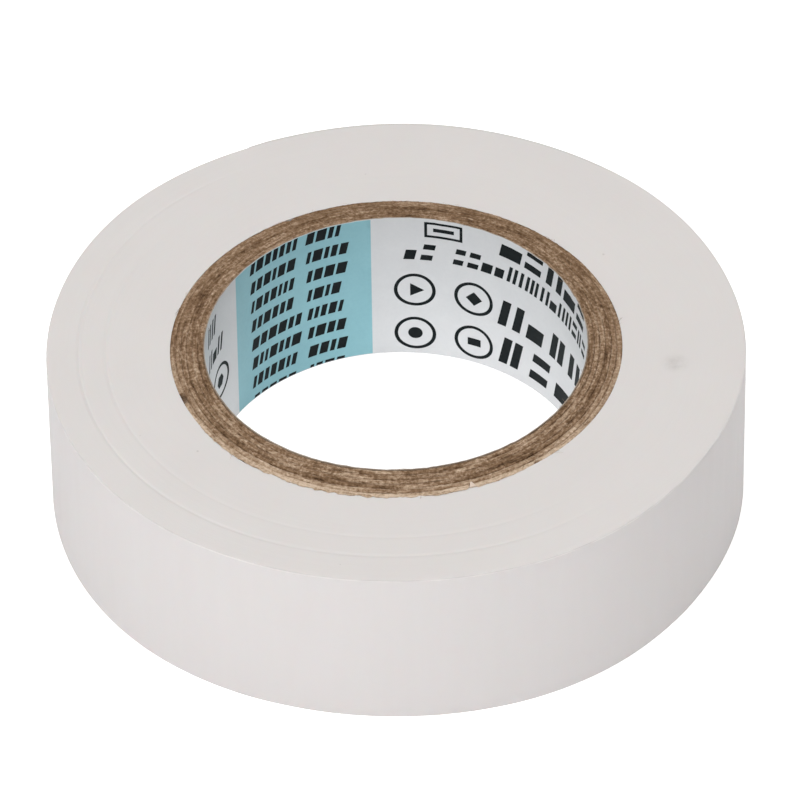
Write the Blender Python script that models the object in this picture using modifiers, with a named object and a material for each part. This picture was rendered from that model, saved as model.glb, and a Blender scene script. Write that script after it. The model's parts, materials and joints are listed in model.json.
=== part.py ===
"""Roll of electrical tape on a paperboard core, lying flat on its side.

The roll's axis is the world Z axis, and the origin is the centre of the underside that the wound tape
rests on. The core is a tube of glued paperboard plies with a thin printed liner in its bore. It has
slipped upwards a little through the tape, its inner plies most, so its end face climbs towards the
bore. The last stretch of the tape is a chain of flat links, hinged along the strip's outer face, which
peels away from the roll.
"""

import math

import bmesh
import bpy
from mathutils import Matrix

# Driving dimensions, in metres. The winding pitch is the film with the little air wound in under it.
TAPE_WIDTH = 0.015
TAPE_THICKNESS = 0.00015
WINDING_PITCH = 0.0001535
TAPE_LENGTH = 10.0
BORE_RADIUS = 0.0159
CORE_RADIUS = 0.01875
LINER_THICKNESS = 0.0001
PLY_COUNT = 6
CORE_RISE = 0.0005

# The free end of the strip. Angles are in degrees about +Z, from +X, and the strip is wound towards
# increasing angles.
END_ANGLE = 115
LINK_COUNT = 12
LINK_ANGLE = 5
ROOT_ANGLE = END_ANGLE - LINK_COUNT * LINK_ANGLE

# Every round surface has the same facets, so neighbouring rings stay parallel all the way round.
FACET_COUNT = 360 // LINK_ANGLE
RING_GAP = 0.00002
LINK_GAP = 0.00006
UNDER_LINK_GAP = 0.00003
WELD_DISTANCE = 0.000001

# The wound strip fills the ring between the core and this radius.
OUTER_RADIUS = math.sqrt(CORE_RADIUS ** 2 + TAPE_LENGTH * WINDING_PITCH / math.pi)


def clear_scene():
    for item in list(bpy.data.objects):
        bpy.data.objects.remove(item, do_unlink=True)


def new_collection(name):
    collection = bpy.data.collections.new(name)
    bpy.context.scene.collection.children.link(collection)
    return collection


def make_material(name, colour, roughness):
    material = bpy.data.materials.new(name)
    material.use_nodes = True
    shader = material.node_tree.nodes["Principled BSDF"]
    shader.inputs["Base Color"].default_value = (*colour, 1.0)
    shader.inputs["Roughness"].default_value = roughness
    shader.inputs["Metallic"].default_value = 0.0
    return material


def add_object(name, data, material, collection, parent):
    item = bpy.data.objects.new(name, data)
    item.data.materials.append(material)
    item.parent = parent
    collection.objects.link(item)
    return item


def polar(radius, angle):
    """The point at this radius and this angle in degrees, in the plane of the underside."""
    turn = math.radians(angle)
    return radius * math.cos(turn), radius * math.sin(turn)


def ring_profile(inner_radius, outer_radius, bottom, top):
    """The closed section of a ring at +X, down its outer side and up its inner side."""
    mesh = bpy.data.meshes.new("ring_profile")
    corners = [(outer_radius, top), (outer_radius, bottom), (inner_radius, bottom), (inner_radius, top)]
    points = [(radius, 0.0, height) for radius, height in corners]
    edges = [(index, (index + 1) % len(points)) for index in range(len(points))]
    mesh.from_pydata(points, edges, [])
    return mesh


def turned_ring(name, inner_radius, outer_radius, bottom, top, material, collection, parent):
    profile = ring_profile(inner_radius, outer_radius, bottom, top)
    ring = add_object(name, profile, material, collection, parent)
    screw = ring.modifiers.new("Turn", 'SCREW')
    screw.axis = 'Z'
    screw.angle = math.tau
    screw.steps = FACET_COUNT
    screw.render_steps = FACET_COUNT
    screw.use_merge_vertices = True
    screw.merge_threshold = WELD_DISTANCE
    screw.use_smooth_shade = False
    return ring


def core_lift(radius):
    """How far the core has slipped upwards at this radius: most at the bore, nothing at the tape."""
    return CORE_RISE * (CORE_RADIUS - radius) / (CORE_RADIUS - BORE_RADIUS)


def add_core(collection, parent):
    """The liner, and the plies from the bore outwards, in two alternating shades of kraft."""
    liner_material = make_material("coated_paper", (0.62, 0.64, 0.66), 0.5)
    kraft_materials = [
        make_material("kraft_dark", (0.26, 0.16, 0.09), 0.9),
        make_material("kraft_light", (0.36, 0.24, 0.14), 0.9),
    ]
    liner_outer = BORE_RADIUS + LINER_THICKNESS
    liner_lift = core_lift(BORE_RADIUS)
    turned_ring("printed_liner", BORE_RADIUS, liner_outer, liner_lift, TAPE_WIDTH + liner_lift,
                liner_material, collection, parent)
    ply_pitch = (CORE_RADIUS - liner_outer) / PLY_COUNT
    for index in range(PLY_COUNT):
        inner = liner_outer + index * ply_pitch + RING_GAP
        outer = liner_outer + (index + 1) * ply_pitch
        lift = core_lift((inner + outer) / 2)
        turned_ring(f"core_ply_{index + 1}", inner, outer, lift, TAPE_WIDTH + lift,
                    kraft_materials[index % 2], collection, parent)


def strip_radius(angle):
    """The radius of the strip's outer face at this angle of its last turn, which ends at END_ANGLE."""
    return OUTER_RADIUS - WINDING_PITCH * (END_ANGLE - angle) / 360


def winding_outline():
    """The winding's outer outline: one turn of the spiral, lowered under the links of the free end."""
    outline = []
    for angle in range(END_ANGLE - 360, ROOT_ANGLE + 1, LINK_ANGLE):
        outline.append(polar(strip_radius(angle), angle))
    for angle in range(ROOT_ANGLE, END_ANGLE + 1, LINK_ANGLE):
        outline.append(polar(strip_radius(angle) - TAPE_THICKNESS - UNDER_LINK_GAP, angle))
    return outline


def add_closed_spline(curve, points):
    spline = curve.splines.new('POLY')
    spline.points.add(len(points) - 1)
    for spline_point, (x, y) in zip(spline.points, points):
        spline_point.co = (x, y, 0.0, 1.0)
    spline.use_cyclic_u = True


def add_winding(material, collection, parent):
    """The wound turns as one solid: a flat outline with the core's hole, extruded to the tape's width."""
    curve = bpy.data.curves.new("winding_outline", 'CURVE')
    curve.dimensions = '2D'
    curve.fill_mode = 'BOTH'
    curve.extrude = TAPE_WIDTH / 2
    add_closed_spline(curve, winding_outline())
    hole_radius = CORE_RADIUS + RING_GAP
    add_closed_spline(curve, [polar(hole_radius, angle) for angle in range(0, 360, LINK_ANGLE)])

    outline = bpy.data.objects.new("winding_outline", curve)
    collection.objects.link(outline)
    evaluated = outline.evaluated_get(bpy.context.evaluated_depsgraph_get())
    mesh = bpy.data.meshes.new_from_object(evaluated)
    bpy.data.objects.remove(outline, do_unlink=True)

    work = bmesh.new()
    work.from_mesh(mesh)
    bmesh.ops.remove_doubles(work, verts=work.verts, dist=WELD_DISTANCE)
    bmesh.ops.recalc_face_normals(work, faces=work.faces)
    work.to_mesh(mesh)
    work.free()
    mesh.materials.clear()
    winding = add_object("tape_winding", mesh, material, collection, parent)
    winding.location = (0.0, 0.0, TAPE_WIDTH / 2)


def link_mesh(length):
    """A flat length of strip, from its hinge along +X, with its outer face on the plane Y = 0."""
    mesh = bpy.data.meshes.new("tape_link")
    work = bmesh.new()
    size = Matrix.Diagonal((length - LINK_GAP, TAPE_THICKNESS, TAPE_WIDTH, 1.0))
    centre = Matrix.Translation((length / 2, TAPE_THICKNESS / 2, TAPE_WIDTH / 2))
    bmesh.ops.create_cube(work, size=1.0, matrix=centre @ size)
    work.to_mesh(mesh)
    work.free()
    return mesh


def add_free_end(material, collection, parent):
    """The links, each with its origin on its own hinge, at the corners of the strip's outer face."""
    for index in range(LINK_COUNT):
        angle = ROOT_ANGLE + index * LINK_ANGLE
        start_x, start_y = polar(strip_radius(angle), angle)
        end_x, end_y = polar(strip_radius(angle + LINK_ANGLE), angle + LINK_ANGLE)
        length = math.hypot(end_x - start_x, end_y - start_y)
        heading = math.atan2(end_y - start_y, end_x - start_x)
        link = add_object(f"tape_end_{index + 1:02d}", link_mesh(length), material, collection, parent)
        link.location = (start_x, start_y, 0.0)
        link.rotation_euler = (0.0, 0.0, heading)


def main():
    clear_scene()
    collection = new_collection("electrical_tape_roll")
    roll_axis = bpy.data.objects.new("roll_axis", None)
    roll_axis.empty_display_size = CORE_RADIUS
    collection.objects.link(roll_axis)
    tape_material = make_material("pvc_film", (0.72, 0.69, 0.66), 0.4)
    add_core(collection, roll_axis)
    add_winding(tape_material, collection, roll_axis)
    add_free_end(tape_material, collection, roll_axis)
    bpy.context.view_layer.update()


main()
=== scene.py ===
"""Looks of the electrical tape roll: the wound film, the peeling end, the paperboard core and the liner."""

import json
import math
import random

import bmesh
import bpy
from mathutils import Matrix, Vector, geometry, noise


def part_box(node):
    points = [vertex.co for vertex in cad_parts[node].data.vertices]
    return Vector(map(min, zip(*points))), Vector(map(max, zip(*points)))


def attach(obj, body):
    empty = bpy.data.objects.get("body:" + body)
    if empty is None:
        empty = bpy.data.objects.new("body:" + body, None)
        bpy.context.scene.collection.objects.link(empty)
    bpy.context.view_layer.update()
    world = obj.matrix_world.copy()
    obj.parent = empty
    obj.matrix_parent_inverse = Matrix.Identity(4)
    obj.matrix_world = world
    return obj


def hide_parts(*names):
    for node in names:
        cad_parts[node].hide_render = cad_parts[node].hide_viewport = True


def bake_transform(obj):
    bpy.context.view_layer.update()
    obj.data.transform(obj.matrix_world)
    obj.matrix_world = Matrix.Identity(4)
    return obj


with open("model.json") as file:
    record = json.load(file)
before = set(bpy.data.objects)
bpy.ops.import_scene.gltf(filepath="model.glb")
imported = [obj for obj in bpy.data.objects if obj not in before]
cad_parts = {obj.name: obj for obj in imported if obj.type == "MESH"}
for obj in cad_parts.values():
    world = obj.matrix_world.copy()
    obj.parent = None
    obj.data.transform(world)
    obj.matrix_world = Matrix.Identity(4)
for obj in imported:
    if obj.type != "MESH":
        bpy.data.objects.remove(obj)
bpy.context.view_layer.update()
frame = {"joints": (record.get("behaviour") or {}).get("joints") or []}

MM = 0.001

# ---- Sizes, read from the frame ----
# Lengths are in metres and angles in degrees about +Z, from +X.

FILM_THICKNESS = 0.15 * MM
WINDING_PITCH = 0.1535 * MM
LINER_THICKNESS = 0.1 * MM
HINGES = [Vector(joint["pos_m"]) for joint in frame["joints"]]
ROOT_ANGLE = math.degrees(math.atan2(HINGES[0].y, HINGES[0].x))
LINK_ANGLE = math.degrees(math.atan2(HINGES[1].y, HINGES[1].x)) - ROOT_ANGLE
END_ANGLE = ROOT_ANGLE + LINK_ANGLE * len(HINGES)
OUTER_RADIUS = HINGES[0].to_2d().length + WINDING_PITCH * (END_ANGLE - ROOT_ANGLE) / 360
TAPE_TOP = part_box("tape_winding")[1][2]
CORE_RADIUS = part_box("core_ply_6")[1][0]
LINER_LOW, LINER_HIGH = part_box("printed_liner")
BORE_RADIUS = LINER_HIGH[0] - LINER_THICKNESS
PLY_COUNT = 6
ROLL = "roll"


def polar(radius, angle, height):
    turn = math.radians(angle)
    return radius * math.cos(turn), radius * math.sin(turn), height


def smoothstep(low, high, value):
    share = min(max((value - low) / (high - low), 0.0), 1.0)
    return share * share * (3 - 2 * share)


def bell(value, centre, width):
    """A smooth bump of height 1 at centre, which has all but gone at twice its width."""
    return math.exp(-((value - centre) / width) ** 2)


def angle_apart(angle, other):
    return (angle - other + 180) % 360 - 180


def ripple(angle, radius, height, along, across):
    """Noise from -1 to 1 that runs round the roll: long along the turn and short across it."""
    turn = math.radians(angle)
    reach = CORE_RADIUS / along
    place = (reach * math.cos(turn), reach * math.sin(turn), (radius + height) / across)
    return noise.noise(Vector(place))


# How far the bore, core and rim are from round: (waves in a turn, size, angle of the first crest).
# One wave in a turn is a shift off the axis, and none is a ring that is a little larger all round.
BORE_WAVES = ((1, 0.04 * MM, 40), (2, 0.07 * MM, 60), (3, 0.045 * MM, -33))
CORE_WAVES = ((1, 0.015 * MM, 70), (2, 0.03 * MM, 50), (3, 0.035 * MM, -5))
RIM_WAVES = (
    (0, 0.10 * MM, 0),
    (1, 0.08 * MM, 165),
    (2, 0.02 * MM, -4),
    (4, 0.05 * MM, 42),
    (5, 0.07 * MM, 5),
    (7, 0.03 * MM, -13),
    (8, 0.02 * MM, -4),
)


def wave_shift(angle, waves):
    return sum(size * math.cos(math.radians(count * (angle - crest))) for count, size, crest in waves)


def out_of_round(angle, radius):
    """The radial shift of the roll's material at this angle and radius."""
    if radius < CORE_RADIUS:
        share = smoothstep(BORE_RADIUS, CORE_RADIUS, radius)
        return wave_shift(angle, BORE_WAVES) * (1 - share) + wave_shift(angle, CORE_WAVES) * share
    share = smoothstep(CORE_RADIUS, OUTER_RADIUS, radius)
    return wave_shift(angle, CORE_WAVES) * (1 - share) + wave_shift(angle, RIM_WAVES) * share


# ---- Meshes and shaders ----


def make_piece(name, points, faces, materials, slots=None, uvs=None, sharp=35.0):
    """A mesh object from points and faces; slots gives each face's material and uvs each point's UV."""
    mesh = bpy.data.meshes.new(name)
    mesh.from_pydata(points, [], faces)
    for material in materials:
        mesh.materials.append(material)
    if slots is not None:
        mesh.polygons.foreach_set("material_index", slots)
    if uvs is not None:
        layer = mesh.uv_layers.new(name="film")
        corners = [0] * len(mesh.loops)
        mesh.loops.foreach_get("vertex_index", corners)
        layer.data.foreach_set("uv", [value for corner in corners for value in uvs[corner]])
    mesh.shade_smooth()
    mesh.set_sharp_from_angle(angle=math.radians(sharp))
    mesh.update()
    piece = bpy.data.objects.new(name, mesh)
    bpy.context.scene.collection.objects.link(piece)
    return piece


RANGE_SOCKETS = ("From Min", "From Max", "To Min", "To Max")


class Shader:
    """A material with a Principled BSDF, and short calls to add its nodes."""

    def __init__(self, name, roughness, **values):
        self.material = bpy.data.materials.new(name)
        self.material.use_nodes = True
        self.tree = self.material.node_tree
        self.surface = self.tree.nodes["Principled BSDF"]
        self.surface.inputs["Roughness"].default_value = roughness
        for socket, value in values.items():
            self.surface.inputs[socket.replace("_", " ")].default_value = value

    def add(self, kind, **properties):
        item = self.tree.nodes.new(kind)
        for name, value in properties.items():
            setattr(item, name, value)
        return item

    def plug(self, source, target):
        """Joins an output to an input, or sets the input to a plain value."""
        if hasattr(source, "is_linked"):
            self.tree.links.new(source, target)
        else:
            target.default_value = source

    def math(self, operation, first, second=0.0):
        item = self.add("ShaderNodeMath", operation=operation)
        self.plug(first, item.inputs[0])
        self.plug(second, item.inputs[1])
        return item.outputs[0]

    def vector(self, x, y, z):
        item = self.add("ShaderNodeCombineXYZ")
        for source, target in zip((x, y, z), item.inputs):
            self.plug(source, target)
        return item.outputs[0]

    def noise(self, place, scale=1.0, detail=3.0, rough=0.55):
        item = self.add("ShaderNodeTexNoise")
        self.plug(place, item.inputs["Vector"])
        item.inputs["Scale"].default_value = scale
        item.inputs["Detail"].default_value = detail
        item.inputs["Roughness"].default_value = rough
        return item.outputs["Fac"]

    def spread(self, value, low, high, to_low=0.0, to_high=1.0, shape='LINEAR'):
        item = self.add("ShaderNodeMapRange", interpolation_type=shape)
        self.plug(value, item.inputs["Value"])
        for socket, number in zip(RANGE_SOCKETS, (low, high, to_low, to_high)):
            item.inputs[socket].default_value = number
        return item.outputs["Result"]

    def mix(self, share, first, second):
        item = self.add("ShaderNodeMix", data_type='RGBA')
        self.plug(share, item.inputs[0])
        for source, target in ((first, item.inputs[6]), (second, item.inputs[7])):
            if isinstance(source, tuple):
                target.default_value = (*source, 1.0)
            else:
                self.plug(source, target)
        return item.outputs[2]

    def ramp(self, value, *stops):
        """A colour ramp; each stop is (position, colour)."""
        item = self.add("ShaderNodeValToRGB")
        points = item.color_ramp.elements
        while len(points) < len(stops):
            points.new(0.5)
        for point, (position, colour) in zip(points, stops):
            point.position = position
            point.color = (*colour, 1.0)
        self.plug(value, item.inputs[0])
        return item.outputs[0]

    def spot(self, angle, radius, height, size):
        """1 at a place on the roll, fading to 0 at size from it."""
        item = self.add("ShaderNodeVectorMath", operation='DISTANCE')
        self.plug(self.object_place(), item.inputs[0])
        item.inputs[1].default_value = polar(radius, angle, height)
        return self.spread(item.outputs["Value"], 0.0, size, 1.0, 0.0, 'SMOOTHSTEP')

    def bump(self, height, distance, strength=1.0):
        item = self.add("ShaderNodeBump")
        item.inputs["Distance"].default_value = distance
        item.inputs["Strength"].default_value = strength
        self.plug(height, item.inputs["Height"])
        self.plug(item.outputs["Normal"], self.surface.inputs["Normal"])

    def object_place(self):
        return self.add("ShaderNodeTexCoord").outputs["Object"]

    def film_place(self):
        return self.add("ShaderNodeTexCoord").outputs["UV"]

    def round_place(self, along, across):
        """Coordinates that run round the roll, in units of along round the turn and across off it."""
        split = self.add("ShaderNodeSeparateXYZ")
        self.plug(self.object_place(), split.inputs[0])
        x, y, z = split.outputs
        squares = self.math('ADD', self.math('MULTIPLY', x, x), self.math('MULTIPLY', y, y))
        radius = self.math('SQRT', squares)
        reach = CORE_RADIUS / along
        around_x = self.math('MULTIPLY', self.math('DIVIDE', x, radius), reach)
        around_y = self.math('MULTIPLY', self.math('DIVIDE', y, radius), reach)
        off = self.math('MULTIPLY', self.math('ADD', radius, z), 1.0 / across)
        return self.vector(around_x, around_y, off)

    def colour(self, source):
        if isinstance(source, tuple):
            self.surface.inputs["Base Color"].default_value = (*source, 1.0)
        else:
            self.plug(source, self.surface.inputs["Base Color"])


# How light spreads a little inside the film.
FILM_DEPTH = {"Subsurface_Weight": 0.08, "Subsurface_Scale": 0.6 * MM}
FILM_COLOUR = (0.628, 0.602, 0.597)
FILM_SHADE = (0.618, 0.592, 0.586)
EDGE_COLOUR = (0.688, 0.658, 0.640)
EDGE_SHADE = (0.668, 0.638, 0.620)
# Painted highlight: a paler colour for the rim's rounded corner, which stands in for light along the rim.
RIM_HIGHLIGHT_COLOUR = (0.69, 0.665, 0.65)
SMUDGE_COLOUR = (0.34, 0.32, 0.30)
ADHESIVE_COLOUR = (0.60, 0.565, 0.52)

# Dark marks on the top face: (angle, radius, how far it reaches, strength).
SMUDGES = (
    (-6.5, 23.2 * MM, 1.5 * MM, 0.42),
    (-142.0, 20.7 * MM, 0.16 * MM, 0.8),
    (-153.0, 23.6 * MM, 0.12 * MM, 0.7),
    (33.0, 20.9 * MM, 0.18 * MM, 0.8),
    (96.0, 22.5 * MM, 0.12 * MM, 0.6),
    (-100.0, 27.2 * MM, 0.10 * MM, 0.5),
)

# Kraft board from its darkest cracks to its palest fibres, and how much noise spans that range.
BOARD_STOPS = (
    (0.0, (0.055, 0.028, 0.013)),
    (0.3, (0.150, 0.085, 0.043)),
    (0.55, (0.262, 0.165, 0.097)),
    (0.8, (0.45, 0.325, 0.222)),
    (1.0, (0.63, 0.49, 0.365)),
)
BOARD_SPREAD = 0.15
# The angle of the largest nick, which also gets a spot of painted shade.
SHADED_NICK_ANGLE = -160.5


def film_material():
    """The film's outer face: semi-gloss soft PVC with a fine orange peel and faint stretch marks."""
    shader = Shader("film_face", 0.4, Specular_IOR_Level=0.01, **FILM_DEPTH)
    place = shader.film_place()
    stretch = shader.add("ShaderNodeMapping")
    stretch.inputs["Scale"].default_value = (900.0, 70.0, 1.0)
    shader.plug(place, stretch.inputs["Vector"])
    streaks = shader.noise(stretch.outputs["Vector"], 1.0, 4.0)
    cloud = shader.noise(place, 130.0, 3.0)
    tone = shader.math('ADD', shader.math('MULTIPLY', streaks, 0.6), shader.math('MULTIPLY', cloud, 0.4))
    shader.colour(shader.mix(shader.spread(tone, 0.35, 0.7), FILM_COLOUR, FILM_SHADE))
    peel = shader.noise(place, 2600.0, 2.0)
    relief = shader.math('ADD', shader.math('MULTIPLY', streaks, 0.7), shader.math('MULTIPLY', peel, 0.5))
    shader.bump(relief, 0.006 * MM)
    shader.plug(shader.spread(streaks, 0.3, 0.7, 0.34, 0.46), shader.surface.inputs["Roughness"])
    return shader.material


def painted_rim_highlight_material():
    """The rim's rounded corner, painted paler in patches as a painted highlight along the rim."""
    shader = Shader("painted_rim_highlight", 0.5, Specular_IOR_Level=0.05)
    patches = shader.noise(shader.object_place(), 450.0, 3.0)
    shader.colour(shader.mix(shader.spread(patches, 0.35, 0.6), FILM_COLOUR, RIM_HIGHLIGHT_COLOUR))
    shader.bump(shader.noise(shader.object_place(), 4000.0, 2.0), 0.004 * MM)
    return shader.material


def wound_edge_material():
    """The wound turns' slit edges: satin, with faint rings and clouds, a grey smudge and some dust."""
    shader = Shader("wound_edge", 0.5, Specular_IOR_Level=0.15, **FILM_DEPTH)
    rings = shader.noise(shader.round_place(20 * MM, 0.12 * MM), 1.0, 2.0)
    cloud = shader.noise(shader.object_place(), 120.0, 4.0)
    tone = shader.math('ADD', shader.math('MULTIPLY', rings, 0.35), shader.math('MULTIPLY', cloud, 0.65))
    base = shader.mix(shader.spread(tone, 0.35, 0.75), EDGE_COLOUR, EDGE_SHADE)
    blur = shader.noise(shader.object_place(), 1500.0, 3.0)
    for angle, radius, size, strength in SMUDGES:
        share = shader.spot(angle, radius, TAPE_TOP, size)
        share = shader.math('MULTIPLY', share, shader.spread(blur, 0.3, 0.7, 0.2 * strength, strength))
        base = shader.mix(share, base, SMUDGE_COLOUR)
    shader.colour(base)
    fine = shader.noise(shader.object_place(), 5000.0, 2.0)
    shader.bump(shader.math('ADD', shader.math('MULTIPLY', rings, 0.4), fine), 0.004 * MM)
    return shader.material


def adhesive_material():
    """The film's inner face: the same film under a thin clear tacky coat."""
    shader = Shader("film_adhesive", 0.22, Coat_Weight=0.5, Coat_Roughness=0.12)
    blotch = shader.noise(shader.film_place(), 700.0, 4.0)
    shader.colour(shader.mix(shader.spread(blotch, 0.35, 0.7), ADHESIVE_COLOUR, FILM_SHADE))
    shader.bump(blotch, 0.01 * MM)
    return shader.material


def board_material(name, tone, lit_front_tone=None, calm=1.0, nick_shade=0.0):
    """A ply's cut end: matted brown fibres, painted paler towards the front, where the light falls, as a
    painted highlight.

    A higher calm evens out the fibres' shades. The last argument is the size of a dark spot painted into
    the largest nick as shade.
    """
    shader = Shader(name, 0.92, Specular_IOR_Level=0.25)
    tufts = shader.noise(shader.object_place(), 3600.0, 4.0, 0.62)
    strands = shader.noise(shader.round_place(1.3 * MM, 0.14 * MM), 1.0, 4.0, 0.6)
    patches = shader.noise(shader.round_place(4.5 * MM, 0.5 * MM), 1.0, 2.0)
    mixed = shader.math('ADD', shader.math('MULTIPLY', tufts, 0.42), shader.math('MULTIPLY', strands, 0.30))
    mixed = shader.math('ADD', mixed, shader.math('MULTIPLY', patches, 0.28))
    reach = BOARD_SPREAD * calm
    level = shader.spread(mixed, 0.5 - reach, 0.5 + reach, tone - 0.5, tone + 0.5)
    if lit_front_tone is not None:
        # Painted highlight: the board is made paler towards the front (negative Y), where the light falls.
        split = shader.add("ShaderNodeSeparateXYZ")
        shader.plug(shader.object_place(), split.inputs[0])
        painted_highlight = shader.spread(split.outputs[1], 2 * MM, -15 * MM, 0.0, lit_front_tone - tone)
        level = shader.math('ADD', level, painted_highlight)
    colour = shader.ramp(level, *BOARD_STOPS)
    if nick_shade:
        # Painted shade: the board turns its darkest colour inside the largest nick, where shade falls.
        share = shader.spot(SHADED_NICK_ANGLE, CORE_RADIUS, TAPE_TOP, nick_shade)
        colour = shader.mix(share, colour, BOARD_STOPS[0][1])
    shader.colour(colour)
    shader.bump(shader.math('ADD', tufts, strands), 0.06 * MM)
    return shader.material


def paper_material(name, colour, shade, roughness, gloss=0.35):
    """The liner's coated paper or its ink: a fine fibre grain under the coat, and faint cloudiness."""
    shader = Shader(name, roughness, Specular_IOR_Level=gloss)
    grain = shader.noise(shader.object_place(), 3200.0, 4.0)
    cloud = shader.noise(shader.object_place(), 330.0, 3.0)
    tone = shader.math('ADD', shader.math('MULTIPLY', grain, 0.4), shader.math('MULTIPLY', cloud, 0.6))
    shader.colour(shader.mix(shader.spread(tone, 0.35, 0.65), colour, shade))
    shader.bump(grain, 0.006 * MM)
    return shader.material


# ---- The wound tape ----

STEPS_PER_TURN = 240
STEP_ANGLE = 360 / STEPS_PER_TURN
FREE_START = ROOT_ANGLE - LINK_ANGLE / 2
CROWN = 0.003 * MM
PRESSED = 0.07 * MM

# The outer face's section, top to rim: (how far the rounded slit edge pulls in, depth below the top).
RIM_CORNER = ((0.11 * MM, 0.0), (0.03 * MM, 0.05 * MM), (0.0, 0.16 * MM))
CORNER_ROWS = 2
FACE_ROWS = 14

# Rings where a few turns sit lower: (radius, how far it drifts inwards, angles it shows between,
# depth). They are deepest on the left.
GROOVES = (
    (26.35 * MM, 0.55 * MM, (130, 310), 0.030 * MM),
    (24.10 * MM, 0.55 * MM, (150, 300), 0.019 * MM),
    (22.30 * MM, 0.25 * MM, (20, 110), 0.008 * MM),
)
FRAYED_ANGLE = -45.0
ROLLED_RIM = 0.06 * MM

# The winding starts a whole number of steps before the free end. CLIMB is the share of a turn in which
# the first turns climb, and the climb is spread evenly from SETTLED outside the core.
TURN_COUNT = (OUTER_RADIUS - CORE_RADIUS) / WINDING_PITCH - (END_ANGLE - FREE_START) / 360 - 1
FIRST_STEP = round(FREE_START / STEP_ANGLE) - round(TURN_COUNT * STEPS_PER_TURN)
FIRST_ANGLE = FIRST_STEP * STEP_ANGLE
CLIMB = 0.05
SETTLED = 2 * MM


def turn_inner_radius(angle):
    """The strip's inner face at this angle, which counts up along the strip and ends at END_ANGLE.

    The first turns are round and climb over the strip's start in one place. Further out the climb
    spreads round the whole turn.
    """
    radius = OUTER_RADIUS - WINDING_PITCH * (1 + (END_ANGLE - angle) / 360)
    share = (angle - FIRST_ANGLE) / 360 % 1
    level = share if share < 1 - CLIMB else (1 - share) * (1 - CLIMB) / CLIMB
    return radius - WINDING_PITCH * level * (1 - smoothstep(CORE_RADIUS, CORE_RADIUS + SETTLED, radius))


def rim_wear(angle):
    """How much the rim's corner is rubbed: most in front, and unevenly."""
    front = smoothstep(-0.3, 0.6, -math.sin(math.radians(angle)))
    return front * (1.0 + 0.8 * ripple(angle, 0.0, 5.0, 3 * MM, 1.0))


def groove_depth(angle, radius):
    depth = 0.0
    for centre, drift, (start, end), deep in GROOVES:
        position = angle % 360
        if position < start - 40:
            position += 360
        share = (position - start) / (end - start)
        fade = smoothstep(-0.15, 0.1, share) * (1 - smoothstep(0.85, 1.15, share))
        uneven = 0.5 * ripple(angle, centre, 0.0, 5 * MM, MM)
        fade *= 1.0 + uneven + 1.4 * bell(angle_apart(angle, 180), 0.0, 45)
        depth += deep * fade * bell(radius, centre - drift * share, 0.14 * MM)
    return depth


def end_face_height(angle, radius):
    """How high the wound turns' slit edges stand above the nominal face."""
    x, y, _ = polar(radius, angle, 0.0)
    swell = noise.noise(Vector((x / (9 * MM), y / (9 * MM), 4.0))) * 0.015 * MM
    turn = noise.noise(Vector((angle / 210.0, radius / (0.21 * MM), 7.0))) * 0.004 * MM
    rim = smoothstep(OUTER_RADIUS - 0.4 * MM, OUTER_RADIUS, radius)
    rolled = ROLLED_RIM * rim * rim_wear(angle)
    frayed = noise.noise(Vector((angle / 1.9, radius / (0.35 * MM), 2.0))) * 0.030 * MM
    frayed *= rim * (0.25 + 0.75 * bell(angle_apart(angle, FRAYED_ANGLE), 0.0, 50.0))
    return swell + turn + frayed - rolled - groove_depth(angle, radius)


# Dents and stretch marks on the outer face: (angle, height, width in degrees, height of it, depth).
MARKS = (
    (-64.0, 10.6 * MM, 1.1, 1.9 * MM, 0.051 * MM),
    (-61.5, 11.4 * MM, 0.8, 1.4 * MM, -0.034 * MM),
    (-69.5, 5.6 * MM, 0.5, 4.5 * MM, 0.034 * MM),
    (-71.3, 4.2 * MM, 0.5, 3.6 * MM, -0.027 * MM),
    (-75.0, 5.0 * MM, 0.7, 3.4 * MM, 0.024 * MM),
    (-20.0, 7.5 * MM, 0.8, 6.5 * MM, 0.037 * MM),
    (-158.0, 8.0 * MM, 1.2, 5.0 * MM, 0.034 * MM),
    (-151.0, 6.0 * MM, 0.8, 4.0 * MM, -0.024 * MM),
    (12.0, 6.0 * MM, 1.5, 5.0 * MM, 0.034 * MM),
    (158.0, 9.0 * MM, 1.2, 4.0 * MM, 0.034 * MM),
)


def face_relief(angle, height):
    """How far the outer face stands out from its spiral, with its dents, marks and slow waves."""
    turn = math.radians(angle)
    around = OUTER_RADIUS / (5 * MM)
    place = Vector((around * math.cos(turn), around * math.sin(turn), height / (9 * MM)))
    relief = noise.noise(place) * 0.014 * MM
    for centre, level, width, tall, deep in MARKS:
        apart = angle_apart(angle, centre)
        if abs(apart) < 4 * width:
            relief -= deep * bell(apart, 0.0, width) * bell(height, level, tall)
    return relief


def face_section():
    """Heights and pull-ins of the outer face's rows, from its top edge to its bottom edge."""
    corner = [(pull, TAPE_TOP - depth) for pull, depth in RIM_CORNER]
    first, last = corner[-1][1], TAPE_TOP - corner[-1][1]
    spacing = (first - last) / (FACE_ROWS + 1)
    middle = [(0.0, first - spacing * (row + 1)) for row in range(FACE_ROWS)]
    lower = [(pull, TAPE_TOP - height) for pull, height in reversed(corner)]
    return corner + middle + lower


def outer_face_point(angle, section_row):
    """A point of the strip's outer face at this angle of its last turn, pressed thin at the very end.

    Its edges are hardly rounded on the stretch that the free end covers.
    """
    pull, height = section_row
    under = smoothstep(FREE_START - 362, FREE_START - 360, angle)
    under *= 1 - smoothstep(END_ANGLE - 362, END_ANGLE - 360, angle)
    pull *= (1 - 0.85 * under) * (0.25 + 0.75 * rim_wear(angle))
    pull += PRESSED * smoothstep(END_ANGLE - 4, END_ANGLE, angle)
    radius = turn_inner_radius(angle) + WINDING_PITCH - pull
    radius += out_of_round(angle, radius) + face_relief(angle, height)
    return polar(radius, angle, height)


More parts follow.
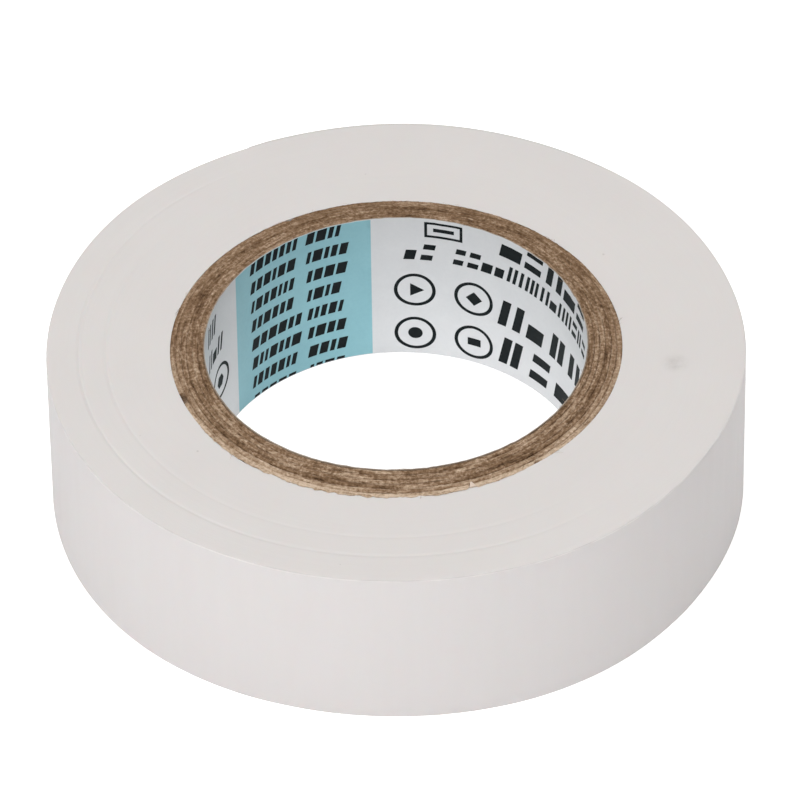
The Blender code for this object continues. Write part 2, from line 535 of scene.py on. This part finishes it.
def wound_tape(edge, film, painted_highlight):
    """The wound strip as one closed solid whose ends and outer face follow the spiral, turn by turn."""
    last = round(FREE_START / STEP_ANGLE)
    first = FIRST_STEP
    outer = last + STEPS_PER_TURN
    section = face_section()
    points = []
    uvs = []

    def add_point(angle, radius, height):
        shifted = radius + out_of_round(angle, radius)
        points.append(polar(shifted, angle, height))
        uvs.append((OUTER_RADIUS * math.radians(angle), height))
        return len(points) - 1

    def strip_step(step):
        angle = step * STEP_ANGLE
        return angle, turn_inner_radius(angle)

    top_valley = {}
    for step in range(first, last):
        angle, radius = strip_step(step)
        top_valley[step] = add_point(angle, radius, TAPE_TOP + end_face_height(angle, radius))
    bottom_valley = {}
    for step in range(first, last):
        angle, radius = strip_step(step)
        bottom_valley[step] = add_point(angle, radius, 0.0)
    crown = {}
    for step in range(first, last + 1):
        angle, radius = strip_step(step)
        middle = radius + WINDING_PITCH / 2
        crown[step] = add_point(angle, middle, TAPE_TOP + CROWN + end_face_height(angle, middle))

    columns = {}
    for step in range(last, outer + 1):
        angle = step * STEP_ANGLE - 360
        column = []
        for row in section:
            points.append(outer_face_point(angle, row))
            uvs.append((OUTER_RADIUS * math.radians(angle), row[1]))
            column.append(len(points) - 1)
        lift = end_face_height(angle, turn_inner_radius(angle) + WINDING_PITCH)
        x, y, z = points[column[0]]
        points[column[0]] = (x, y, z + lift)
        columns[step] = column
        top_valley[step] = column[0]
        bottom_valley[step] = column[-1]

    faces = []
    slots = []

    def add_face(slot, *corners):
        faces.append(corners)
        slots.append(slot)

    for step in range(first, last):
        beyond = step + STEPS_PER_TURN
        add_face(0, top_valley[step], crown[step], crown[step + 1], top_valley[step + 1])
        add_face(0, crown[step], top_valley[beyond], top_valley[beyond + 1], crown[step + 1])
        add_face(0, bottom_valley[step + 1], bottom_valley[beyond + 1], bottom_valley[beyond],
                 bottom_valley[step])
    for step in range(last, outer):
        here, there = columns[step], columns[step + 1]
        for row in range(len(section) - 1):
            # The corner rows near the top get the painted rim highlight.
            slot = 2 if row < CORNER_ROWS else 1
            add_face(slot, here[row + 1], there[row + 1], there[row], here[row])
    for step in range(first, first + STEPS_PER_TURN):
        add_face(0, top_valley[step], top_valley[step + 1], bottom_valley[step + 1], bottom_valley[step])
    inner_end, outer_end = columns[last], columns[outer]
    for row in range(len(section) - 1):
        add_face(1, outer_end[row + 1], inner_end[row + 1], inner_end[row], outer_end[row])
    add_face(1, outer_end[0], inner_end[0], crown[last])
    beyond = first + STEPS_PER_TURN
    add_face(0, bottom_valley[first], bottom_valley[beyond], top_valley[beyond], top_valley[first])
    add_face(0, top_valley[first], top_valley[beyond], crown[first])

    piece = make_piece("wound_tape", points, faces, [edge, film, painted_highlight], slots, uvs, sharp=50.0)
    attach(piece, ROLL)
    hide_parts("tape_winding")


# ---- The free end of the strip ----

FREE_STEP_ANGLE = 0.5
FREE_GAP = WINDING_PITCH - FILM_THICKNESS + 0.004 * MM


def strip_piece(name, start, end, edge, film, adhesive):
    """A length of the free end between two angles: its outer face, its tacky inner face and its edges."""
    section = face_section()
    count = round((end - start) / FREE_STEP_ANGLE)
    points = []
    uvs = []
    for step in range(count + 1):
        angle = start + (end - start) * step / count
        arc = OUTER_RADIUS * math.radians(angle)
        inner_radius = turn_inner_radius(angle) + FREE_GAP
        outer_lift = end_face_height(angle, inner_radius + FILM_THICKNESS)
        inner_lift = end_face_height(angle, inner_radius)
        inner_radius += out_of_round(angle, inner_radius)
        for index, row in enumerate(section):
            x, y, z = outer_face_point(angle, row)
            points.append((x, y, z + (outer_lift if index == 0 else 0.0)))
            uvs.append((arc, row[1]))
        for index, row in enumerate(reversed(section), start=1):
            lift = inner_lift if index == len(section) else 0.0
            points.append(polar(inner_radius, angle, row[1] + lift))
            uvs.append((arc, row[1]))
    around = 2 * len(section)
    faces = []
    slots = []
    for step in range(count):
        here, there = step * around, (step + 1) * around
        for row in range(around):
            after = (row + 1) % around
            faces.append((here + after, there + after, there + row, here + row))
            on_outer = row < len(section) - 1
            on_inner = len(section) <= row < around - 1
            slots.append(1 if on_outer else 2 if on_inner else 0)
    faces.append(tuple(reversed(range(around))))
    faces.append(tuple(count * around + row for row in range(around)))
    slots += [0, 0]
    return make_piece(name, points, faces, [edge, film, adhesive], slots, uvs, sharp=50.0)


def free_end(edge, film, adhesive):
    """One piece across each hinge, from the middle of one link to the middle of the next, and a tip."""
    bodies = [ROLL] + [joint["child"] for joint in frame["joints"]]
    for index in range(len(HINGES)):
        middle = ROOT_ANGLE + index * LINK_ANGLE
        start, end = middle - LINK_ANGLE / 2, middle + LINK_ANGLE / 2
        piece = strip_piece(f"free_end_{index + 1:02d}", start, end, edge, film, adhesive)
        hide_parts(f"tape_end_{index + 1:02d}")
        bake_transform(piece)
    tip = strip_piece("free_end_tip", END_ANGLE - LINK_ANGLE / 2, END_ANGLE, edge, film, adhesive)
    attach(tip, bodies[-1])


# ---- The paperboard core ----

PLY_STEPS = 900
PLY_ROWS = 7
FRINGE = (-146, -58)

# Nicks in the outer ply's edge: (angle, width in degrees, how deep it goes towards the bore, how low).
NICKS = (
    (-71.0, 0.8, 0.55 * MM, 0.25 * MM),
    (-52.0, 1.0, 0.30 * MM, 0.20 * MM),
    (SHADED_NICK_ANGLE, 1.2, 0.45 * MM, 0.60 * MM),
    (-96.0, 0.5, 0.15 * MM, 0.15 * MM),
    (-121.0, 0.6, 0.12 * MM, 0.12 * MM),
    (118.0, 0.7, 0.15 * MM, 0.15 * MM),
)
NICK_FLOOR = 0.3 * MM


def fibre_relief(angle, radius, seed):
    """The torn fibres of a cut end, as height above the nominal face."""
    x, y, _ = polar(radius, angle, 0.0)
    long_fibres = ripple(angle, radius, seed, 1.3 * MM, 0.17 * MM)
    tufts = noise.noise(Vector((x / (0.26 * MM), y / (0.26 * MM), seed / MM)))
    lumps = noise.noise(Vector((x / (0.8 * MM), y / (0.8 * MM), seed / MM + 9.0)))
    return (long_fibres * 0.055 + tufts * 0.05 + lumps * 0.035) * MM


def nick_depth(angle, column):
    """How far the outer ply's edge is pushed in (column 2) or down (column 3) by its nicks."""
    total = 0.0
    for nick in NICKS:
        apart = angle_apart(angle, nick[0])
        total += nick[column] * bell(apart, 0.0, nick[1])
    return total


def fringe(angle):
    """How far the outer ply's soft torn edge spreads over the tape."""
    inside = smoothstep(FRINGE[0] - 12, FRINGE[0] + 12, angle)
    inside *= 1 - smoothstep(FRINGE[1] - 10, FRINGE[1] + 8, angle)
    ragged = 0.6 + 0.8 * ripple(angle, 0.0, 0.0, 0.7 * MM, 1.0)
    ragged += 0.5 * ripple(angle, 0.0, 5.0, 0.25 * MM, 1.0)
    return inside * max(ragged, 0.0) * 0.22 * MM


def core_ply(number, inner_radius, material):
    """One ply of the core, with a rough cut end. Returns its outer radius."""
    low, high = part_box(f"core_ply_{number}")
    outer_radius = high[0]
    is_outer = number == PLY_COUNT
    seed = number * 1.37 * MM
    points = []
    for step in range(PLY_STEPS):
        angle = step * 360 / PLY_STEPS - 180
        shift = out_of_round(angle, inner_radius)
        edge = outer_radius + shift
        edge_drop = 0.0
        if is_outer:
            edge -= nick_depth(angle, 2)
            edge_drop = nick_depth(angle, 3)
        points.append(polar(inner_radius + shift, angle, low[2]))
        for row in range(PLY_ROWS):
            share = row / (PLY_ROWS - 1)
            radius = (inner_radius + shift) * (1 - share) + edge * share
            seam = 0.06 * MM * (2 * abs(share - 0.5)) ** 3
            height = high[2] + fibre_relief(angle, radius, seed) - seam - edge_drop * share ** 2
            if is_outer and row == PLY_ROWS - 1:
                radius += fringe(angle)
                height = max(height, TAPE_TOP + 0.05 * MM) if fringe(angle) > 0.03 * MM else height
            points.append(polar(radius, angle, height))
        if is_outer:
            under_edge = min(height - 0.03 * MM, TAPE_TOP + 0.03 * MM)
            points.append(polar(edge + fringe(angle) * 0.8, angle, under_edge))
            points.append(polar(edge, angle, TAPE_TOP - NICK_FLOOR))
            points.append(polar(outer_radius + shift, angle, TAPE_TOP - 1.2 * NICK_FLOOR))
        points.append(polar(outer_radius + shift, angle, low[2]))
    around = len(points) // PLY_STEPS
    faces = []
    for step in range(PLY_STEPS):
        here, there = step * around, (step + 1) % PLY_STEPS * around
        for row in range(around):
            after = (row + 1) % around
            faces.append((here + row, here + after, there + after, there + row))
    piece = make_piece(f"core_turn_{number}", points, faces, [material], sharp=70.0)
    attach(piece, ROLL)
    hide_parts(f"core_ply_{number}")
    return outer_radius


def tube(points, radius, mesh_points, mesh_faces):
    """Adds a thin tapering fibre along points to a mesh."""
    sides = 4
    start = len(mesh_points)
    for index, point in enumerate(points):
        before = points[max(index - 1, 0)]
        after = points[min(index + 1, len(points) - 1)]
        heading = (after - before).normalized()
        side = heading.cross(Vector((0.0, 0.0, 1.0)))
        side = side.normalized() if side.length > 0.01 else Vector((1.0, 0.0, 0.0))
        up = side.cross(heading)
        share = index / (len(points) - 1)
        thick = radius * (1.0 - 0.65 * abs(2 * share - 1))
        for corner in range(sides):
            turn = math.tau * corner / sides
            mesh_points.append(tuple(point + thick * (side * math.cos(turn) + up * math.sin(turn))))
    for index in range(len(points) - 1):
        for corner in range(sides):
            after = (corner + 1) % sides
            here, there = start + index * sides, start + (index + 1) * sides
            mesh_faces.append((there + corner, there + after, here + after, here + corner))
    mesh_faces.append(tuple(start + corner for corner in range(sides)))
    last = start + (len(points) - 1) * sides
    mesh_faces.append(tuple(last + corner for corner in reversed(range(sides))))


def loose_fibres(light, dark):
    """Single fibres torn up from the core's cut end, lying mostly with the turn."""
    draw = random.Random(21)
    points = []
    faces = []
    slots = []
    for number in range(420):
        angle = draw.uniform(-180, 180)
        near_edge = draw.random() < 0.1
        if near_edge:
            radius = CORE_RADIUS - draw.uniform(-0.05, 0.35) * MM
        else:
            radius = draw.uniform(BORE_RADIUS, CORE_RADIUS)
        lift = (CORE_RADIUS - radius) / (CORE_RADIUS - BORE_RADIUS)
        height = TAPE_TOP + (LINER_HIGH[2] - TAPE_TOP) * max(lift, 0.0) + 0.02 * MM
        length = draw.uniform(0.25, 1.3) * MM
        heading = math.radians(angle + 90 + draw.gauss(0, 28))
        if near_edge:
            heading = math.radians(angle + draw.choice((-1, 1)) * draw.uniform(20, 80))
            length *= 0.45
        bend = draw.uniform(-0.6, 0.6)
        rise = draw.uniform(0.02, 0.11) * MM
        place = Vector(polar(radius + out_of_round(angle, radius), angle, height))
        path = []
        for index in range(6):
            share = index / 5
            path.append(place + Vector((0.0, 0.0, rise * math.sin(math.pi * share) + 0.01 * MM)))
            turn = heading + bend * (share - 0.5)
            place = place + Vector((math.cos(turn), math.sin(turn), 0.0)) * (length / 5)
        before = len(faces)
        tube(path, draw.uniform(0.008, 0.017) * MM, points, faces)
        pale = near_edge or draw.random() < 0.7
        slots += [0 if pale else 1] * (len(faces) - before)
    piece = make_piece("core_fibres", points, faces, [light, dark], slots, sharp=80.0)
    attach(piece, ROLL)


def torn_tongue(material):
    """A pale tongue of torn board that fills the nick in the core's rim."""
    angle, spread_angle, deep, _ = NICKS[0]
    points = []
    for share in (0.0, 0.35, 0.7, 1.0):
        radius = CORE_RADIUS + 0.06 * MM - share * deep
        half = spread_angle * 1.1 * (1 - 0.75 * share)
        for side in (-1, 0, 1):
            height = TAPE_TOP + (0.10 + 0.05 * share + 0.04 * (side == 0)) * MM
            shifted = radius + out_of_round(angle, radius)
            points.append(polar(shifted, angle + side * half + 0.15 * share, height))
    count = len(points)
    points += [(x, y, z - 0.12 * MM) for x, y, z in points]
    faces = []
    for row in range(3):
        for side in range(2):
            corner = row * 3 + side
            faces.append((corner + 1, corner + 4, corner + 3, corner))
            faces.append(tuple(count + index for index in (corner, corner + 3, corner + 4, corner + 1)))
    rim = [0, 1, 2, 5, 8, 11, 10, 9, 6, 3]
    for index, here in enumerate(rim):
        there = rim[(index + 1) % len(rim)]
        faces.append((here + count, there + count, there, here))
    tongue = make_piece("core_tongue", points, faces, [material])
    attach(tongue, ROLL)


def paperboard_core():
    looks = (
        board_material("board_bore", 0.50),
        board_material("board_grey", 0.51, 0.60),
        board_material("board_mid", 0.50, 0.56),
        board_material("board_dark", 0.44, 0.46),
        board_material("board_light", 0.49, 0.74, 1.2),
        board_material("board_outer", 0.52, 0.90, 1.3, 0.95 * MM),
    )
    inner_radius = LINER_HIGH[0]
    for number, look in enumerate(looks, start=1):
        inner_radius = core_ply(number, inner_radius, look)
    loose_fibres(board_material("fibre_light", 0.75), board_material("fibre_dark", 0.35))
    torn_tongue(paper_material("board_torn", (0.74, 0.62, 0.53), (0.62, 0.50, 0.41), 0.9, 0.2))


# ---- The printed liner ----

# The print repeats twice round the bore. Its own coordinates are in millimetres: x runs rightwards
# as one looks at the bore's wall from the axis, from a coloured panel's left edge, and y is height.
PRINT_START = 147.9
PANEL_WIDTH = 14.0
REPEAT = math.pi * BORE_RADIUS / MM
PRINT_TOP = (LINER_HIGH[2] - 0.05 * MM) / MM
PRINT_BOTTOM = (LINER_LOW[2] + 0.05 * MM) / MM
SLANT = 0.22
PAPER, PANEL, INK, CUT_EDGE = range(4)


def slanted(x, y, width, height):
    """A leaning block, with its lower left corner at x, y."""
    lean = SLANT * height
    return [(x, y), (x + width, y), (x + width + lean, y + height), (x + lean, y + height)]


def bar_row(draw, x, end, y, height, widths, gap):
    """Leaning bars of mixed widths that fill a line from x to end."""
    shapes = []
    while True:
        width = draw.uniform(*widths)
        if x + width > end:
            return shapes
        shapes.append((slanted(x, y, width, height), INK))
        x += width + gap


HEAVY_KINDS = ("whole", "halved", "barred", "low", "barred", "halved")
LIGHT_KINDS = ("barred", "halved", "barred", "low", "barred", "halved")


def mark(draw, x, y, width, height, stroke):
    """A plain sign: a leaning block, whole, halved, barred or low, as (shape, fill) pairs."""
    kind = draw.choice(HEAVY_KINDS if height > 2 else LIGHT_KINDS)
    if kind == "low":
        return [(slanted(x, y, width, height * 0.6), INK)]
    shapes = [(slanted(x, y, width, height), INK)]
    if kind == "halved":
        cut = 0.34 * height
        lower = (height - cut) / 2
        shapes.append((slanted(x + SLANT * lower - 0.05, y + lower, width + 0.1, cut), PAPER))
    if kind == "barred" and width > 2.3 * stroke:
        shapes.append((slanted(x + stroke, y - 0.02, width - 2 * stroke, height + 0.04), PAPER))
    return shapes


def mark_row(draw, x, end, y, height, pitch, stroke):
    """Plain signs side by side from x to end."""
    shapes = []
    count = round((end - x) / pitch)
    for index in range(count):
        width = pitch * draw.uniform(0.66, 0.84)
        shapes += mark(draw, x + index * (end - x) / count, y, width, height, stroke)
    return shapes


def disc(x, y, radius, corners=40):
    return [(x + radius * math.cos(math.tau * k / corners), y + radius * math.sin(math.tau * k / corners))
            for k in range(corners)]


def box_shape(x, y, width, height):
    return [(x, y), (x + width, y), (x + width, y + height), (x, y + height)]


def print_shapes():
    """The print of one repeat as (shape, fill) in the order it is laid down: plain blocks and signs."""
    draw = random.Random(5)
    shapes = [(box_shape(0.1, PRINT_BOTTOM, PANEL_WIDTH, PRINT_TOP - PRINT_BOTTOM), PANEL)]
    for line in range(8):
        y = 0.45 - 0.8 + line * 2.08
        shapes += bar_row(draw, 2.1, 7.6, y, 1.2, (0.34, 0.9), 0.22)
        shapes += bar_row(draw, 8.25, 12.3, y, 1.2, (0.34, 0.9), 0.22)
    shapes += mark_row(draw, 25.3, 38.5, 13.4, 2.3, 2.9, 0.8)
    shapes += mark_row(draw, 16.8, 19.6, 10.9, 1.75, 1.4, 0.34)
    shapes += mark_row(draw, 21.0, 38.6, 10.9, 1.75, 1.28, 0.34)
    shapes += mark_row(draw, 25.1, 43.0, 5.75, 2.85, 2.8, 0.85)
    shapes += mark_row(draw, 25.2, 41.5, 1.6, 2.95, 3.0, 0.85)
    shapes += mark_row(draw, 43.7, 47.6, 9.8, 1.75, 1.3, 0.34)
    shapes += mark_row(draw, 43.6, 46.2, 12.6, 1.9, 1.3, 0.34)
    for x, y in ((17.75, 7.55), (22.9, 7.55), (17.75, 2.75), (22.9, 2.75), (46.8, 6.6)):
        shapes += [(disc(x, y, 1.78), INK), (disc(x, y, 1.47), PAPER)]
    shapes += [(disc(17.75, 2.75, 0.62, 24), INK), (disc(22.9, 7.55, 0.75, 4), INK)]
    shapes += [(disc(17.75, 7.55, 0.8, 3), INK), (box_shape(22.3, 2.35, 1.2, 0.8), INK)]
    shapes += [(disc(46.8, 6.6, 0.7, 6), INK)]
    shapes += [(box_shape(18.6, 13.45, 3.3, 1.7), INK), (box_shape(18.85, 13.7, 2.8, 1.2), PAPER)]
    shapes += [(box_shape(19.35, 14.1, 1.8, 0.4), INK)]
    return shapes


def with_corners_along(shape, spacing):
    """The same outline with extra points, so that it bends with the bore's wall."""
    outline = []
    for index, (x, y) in enumerate(shape):
        next_x, next_y = shape[(index + 1) % len(shape)]
        count = max(math.ceil(abs(next_x - x) / spacing), 1)
        for step in range(count):
            outline.append((x + (next_x - x) * step / count, y + (next_y - y) * step / count))
    return outline


def clip_height(shape):
    """The part of a shape between the liner's edges."""
    for limit, sign in ((PRINT_BOTTOM + 0.01, 1), (PRINT_TOP - 0.01, -1)):
        kept = []
        for index, here in enumerate(shape):
            there = shape[(index + 1) % len(shape)]
            inside_here = sign * (here[1] - limit) >= 0
            inside_there = sign * (there[1] - limit) >= 0
            if inside_here:
                kept.append(here)
            if inside_here != inside_there:
                share = (limit - here[1]) / (there[1] - here[1])
                kept.append((here[0] + share * (there[0] - here[0]), limit))
        shape = kept
    return shape


# Creases in the paper: (angle, height, reach in degrees, reach in height, lean, depth).
CREASES = (
    (100.0, 14.75 * MM, 9.0, 0.10 * MM, 0.0, 0.035 * MM),
    (41.0, 12.9 * MM, 3.2, 0.13 * MM, 0.30 * MM, 0.05 * MM),
    (36.0, 12.0 * MM, 2.6, 0.12 * MM, 0.25 * MM, -0.04 * MM),
)


def liner_relief(angle, height):
    """How far the liner stands off the core: slow waves, and a few creases."""
    relief = ripple(angle, 0.0, height, 6 * MM, 7 * MM) * 0.03 * MM
    for centre, level, reach, tall, lean, deep in CREASES:
        apart = angle_apart(angle, centre)
        line = level + lean * apart
        relief += deep * bell(apart, 0.0, reach) * bell(height, line, tall)
    return relief


def liner_edge(angle):
    """How far the liner's cut edge stands above its nominal height: a little torn."""
    torn = ripple(angle, 0.0, 0.0, 0.8 * MM, 1.0) + 0.6 * ripple(angle, 0.0, 9.0, 0.3 * MM, 1.0)
    ragged = 1 + 2.2 * bell(angle_apart(angle, 15), 0.0, 28)
    return torn * ragged * 0.05 * MM - 0.03 * MM


def printed_liner():
    """The liner: the print is cut into its inner face, which is then wrapped round the bore."""
    columns = 240
    levels = 22
    full = 2 * REPEAT
    points = []
    shapes = []
    edges = []
    for column in range(columns + 1):
        for level in range(levels + 1):
            x = full * column / columns
            y = LINER_LOW[2] / MM + (LINER_HIGH[2] - LINER_LOW[2]) / MM * level / levels
            points.append(Vector((x, y)))
    count = levels + 1
    for column in range(columns):
        edges.append((column * count, (column + 1) * count))
        edges.append((column * count + levels, (column + 1) * count + levels))
    for column in (0, columns):
        edges += [(column * count + level, column * count + level + 1) for level in range(levels)]
    fills = []
    for repeat in range(2):
        for shape, fill in print_shapes():
            shape = clip_height([(x + repeat * REPEAT + 0.5, y) for x, y in shape])
            if len(shape) < 3:
                continue
            shape = with_corners_along(shape, full / columns)
            start = len(points)
            points += [Vector(corner) for corner in shape]
            shapes.append(list(range(start, len(points))))
            fills.append(fill)
    flat, _, triangles, _, _, sources = geometry.delaunay_2d_cdt(points, edges, shapes, 0, 1e-5, True)

    low, high = LINER_LOW[2], LINER_HIGH[2]
    inner = []
    for x, y in flat:
        angle = PRINT_START - math.degrees((x - 0.5) * MM / BORE_RADIUS)
        height = y * MM
        share = (height - low) / (high - low)
        radius = BORE_RADIUS + out_of_round(angle, BORE_RADIUS) - liner_relief(angle, height)
        inner.append(polar(radius, angle, height + liner_edge(angle) * smoothstep(0.9, 1.0, share)))
    mesh = bpy.data.meshes.new("liner")
    mesh.from_pydata(inner, [], triangles)
    work = bmesh.new()
    work.from_mesh(mesh)
    work.faces.ensure_lookup_table()
    for face, source in zip(work.faces, sources):
        face.material_index = fills[max(source)] if source else PAPER
    bmesh.ops.remove_doubles(work, verts=work.verts, dist=0.0005 * MM)
    bmesh.ops.recalc_face_normals(work, faces=work.faces)
    facing = sum(face.normal.to_2d().dot(face.calc_center_median().to_2d()) for face in work.faces)
    if facing > 0:
        bmesh.ops.reverse_faces(work, faces=work.faces)
    rim = [edge for edge in work.edges if edge.is_boundary]
    grown = bmesh.ops.extrude_edge_only(work, edges=rim)["geom"]
    back_edges = [item for item in grown if isinstance(item, bmesh.types.BMEdge)]
    for vertex in [item for item in grown if isinstance(item, bmesh.types.BMVert)]:
        radius = vertex.co.to_2d().length
        factor = (LINER_HIGH[0] - 0.01 * MM + out_of_round(
            math.degrees(math.atan2(vertex.co.y, vertex.co.x)), BORE_RADIUS)) / radius
        vertex.co = (vertex.co.x * factor, vertex.co.y * factor, vertex.co.z)
    for face in grown:
        if isinstance(face, bmesh.types.BMFace):
            face.material_index = CUT_EDGE
    bmesh.ops.bridge_loops(work, edges=[edge for edge in back_edges if edge.is_boundary])
    bmesh.ops.recalc_face_normals(work, faces=work.faces)
    work.to_mesh(mesh)
    work.free()
    for material in (
        paper_material("liner_white", (0.69, 0.688, 0.696), (0.652, 0.652, 0.664), 0.42),
        paper_material("liner_blue", (0.268, 0.52, 0.578), (0.238, 0.478, 0.54), 0.42),
        paper_material("liner_ink", (0.006, 0.009, 0.010), (0.012, 0.015, 0.016), 0.55, 0.06),
        paper_material("liner_cut_edge", (0.42, 0.35, 0.28), (0.25, 0.19, 0.14), 0.9, 0.2),
    ):
        mesh.materials.append(material)
    mesh.shade_smooth()
    mesh.set_sharp_from_angle(angle=math.radians(50))
    piece = bpy.data.objects.new("liner", mesh)
    bpy.context.scene.collection.objects.link(piece)
    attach(piece, ROLL)
    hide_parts("printed_liner")


# ---- Floor, light and camera ----

BACKDROP_RADIUS = 1.5
FLOOR_GAP = 0.02 * MM
FLOOR_GLOW = 0.44


def pale_floor():
    """A white floor that glows a little near the roll and more far away, so that it stays white."""
    mesh = bpy.data.meshes.new("floor")
    half = BACKDROP_RADIUS
    corners = [(-half, -half, 0.0), (half, -half, 0.0), (half, half, 0.0), (-half, half, 0.0)]
    mesh.from_pydata(corners, [], [(0, 1, 2, 3)])
    floor = bpy.data.objects.new("floor", mesh)
    floor.location.z = -FLOOR_GAP
    bpy.context.scene.collection.objects.link(floor)
    shader = Shader("floor_white", 0.7, Specular_IOR_Level=0.2, Emission_Color=(1.0, 1.0, 1.0, 1.0))
    shader.colour((0.96, 0.96, 0.96))
    distance = shader.add("ShaderNodeVectorMath", operation='LENGTH')
    shader.plug(shader.object_place(), distance.inputs[0])
    glow = shader.spread(distance.outputs["Value"], 0.12, 0.5, FLOOR_GLOW, 1.2, 'SMOOTHSTEP')
    shader.plug(glow, shader.surface.inputs["Emission Strength"])
    mesh.materials.append(shader.material)


def white_card(name, height, **shape):
    """A white cylinder, of create_cone's sizes, that only the camera sees, so it adds no light."""
    mesh = bpy.data.meshes.new(name)
    work = bmesh.new()
    bmesh.ops.create_cone(work, segments=72, cap_ends=True, **shape)
    work.to_mesh(mesh)
    work.free()
    card = bpy.data.objects.new(name, mesh)
    card.location.z = height
    bpy.context.scene.collection.objects.link(card)
    shader = Shader(name + "_white", 1.0, Emission_Color=(1.0, 1.0, 1.0, 1.0), Emission_Strength=1.1)
    shader.colour((0.0, 0.0, 0.0))
    mesh.materials.append(shader.material)
    card.visible_diffuse = False
    card.visible_glossy = False
    card.visible_transmission = False
    card.visible_shadow = False


def white_surroundings():
    """A wall round the floor, and a disc on the floor inside the bore."""
    wall = BACKDROP_RADIUS
    white_card("backdrop", 0.0, radius1=wall, radius2=wall, depth=2 * wall)
    under = CORE_RADIUS
    white_card("bore_floor", -FLOOR_GAP / 2, radius1=under, radius2=under, depth=FLOOR_GAP / 2)


def soft_light(name, azimuth, elevation, distance, size, power):
    """A square soft box that points at the roll."""
    data = bpy.data.lights.new(name, 'AREA')
    data.shape = 'SQUARE'
    data.size = size
    data.energy = power
    lamp = bpy.data.objects.new(name, data)
    flat = distance * math.cos(math.radians(elevation))
    lamp.location = polar(flat, azimuth, distance * math.sin(math.radians(elevation)))
    lamp.rotation_euler = (-lamp.location).to_track_quat('-Z', 'Y').to_euler()
    bpy.context.scene.collection.objects.link(lamp)


# The surroundings are brighter in front of the roll than behind it, and change over between these
# two values of a direction's Y.
SKY_TURNS = (-0.8, 0.2)
FRONT_SKY = 0.192
BACK_SKY = 0.04


def studio():
    world = bpy.data.worlds.new("studio")
    world.use_nodes = True
    nodes = world.node_tree.nodes
    links = world.node_tree.links
    direction = nodes.new("ShaderNodeTexCoord")
    split = nodes.new("ShaderNodeSeparateXYZ")
    links.new(direction.outputs["Generated"], split.inputs[0])
    level = nodes.new("ShaderNodeMapRange")
    level.interpolation_type = 'SMOOTHSTEP'
    for socket, value in zip(RANGE_SOCKETS, (*SKY_TURNS, FRONT_SKY, BACK_SKY)):
        level.inputs[socket].default_value = value
    links.new(split.outputs["Y"], level.inputs["Value"])
    links.new(level.outputs["Result"], nodes["Background"].inputs["Strength"])
    nodes["Background"].inputs["Color"].default_value = (1.0, 0.985, 0.985, 1.0)
    bpy.context.scene.world = world
    soft_light("key", -117, 38, 0.7, 0.35, 2.15)
    soft_light("overhead", 60, 82, 0.7, 1.1, 6.05)


CAMERA_ELEVATION = 41.167
CAMERA_ROLL = -0.861
CAMERA_DISTANCE = 0.7269
CAMERA_AIM = Vector((0.29 * MM, 0.0, 9.08 * MM))
CAMERA_LENS = 392.8


def camera():
    data = bpy.data.cameras.new("camera")
    data.sensor_width = 36.0
    data.lens = CAMERA_LENS
    data.clip_start = 0.01
    item = bpy.data.objects.new("camera", data)
    tilt = Matrix.Rotation(math.radians(90 - CAMERA_ELEVATION), 4, 'X')
    roll = Matrix.Rotation(math.radians(CAMERA_ROLL), 4, 'Z')
    turned = tilt @ roll
    back = turned.to_3x3() @ Vector((0.0, 0.0, 1.0))
    item.matrix_world = Matrix.Translation(CAMERA_AIM + back * CAMERA_DISTANCE) @ turned
    bpy.context.scene.collection.objects.link(item)
    bpy.context.scene.camera = item


def main():
    bpy.context.scene.view_settings.view_transform = 'Standard'
    camera()
    studio()
    pale_floor()
    white_surroundings()
    edge = wound_edge_material()
    film = film_material()
    wound_tape(edge, film, painted_rim_highlight_material())
    free_end(edge, film, adhesive_material())
    paperboard_core()
    printed_liner()


main()
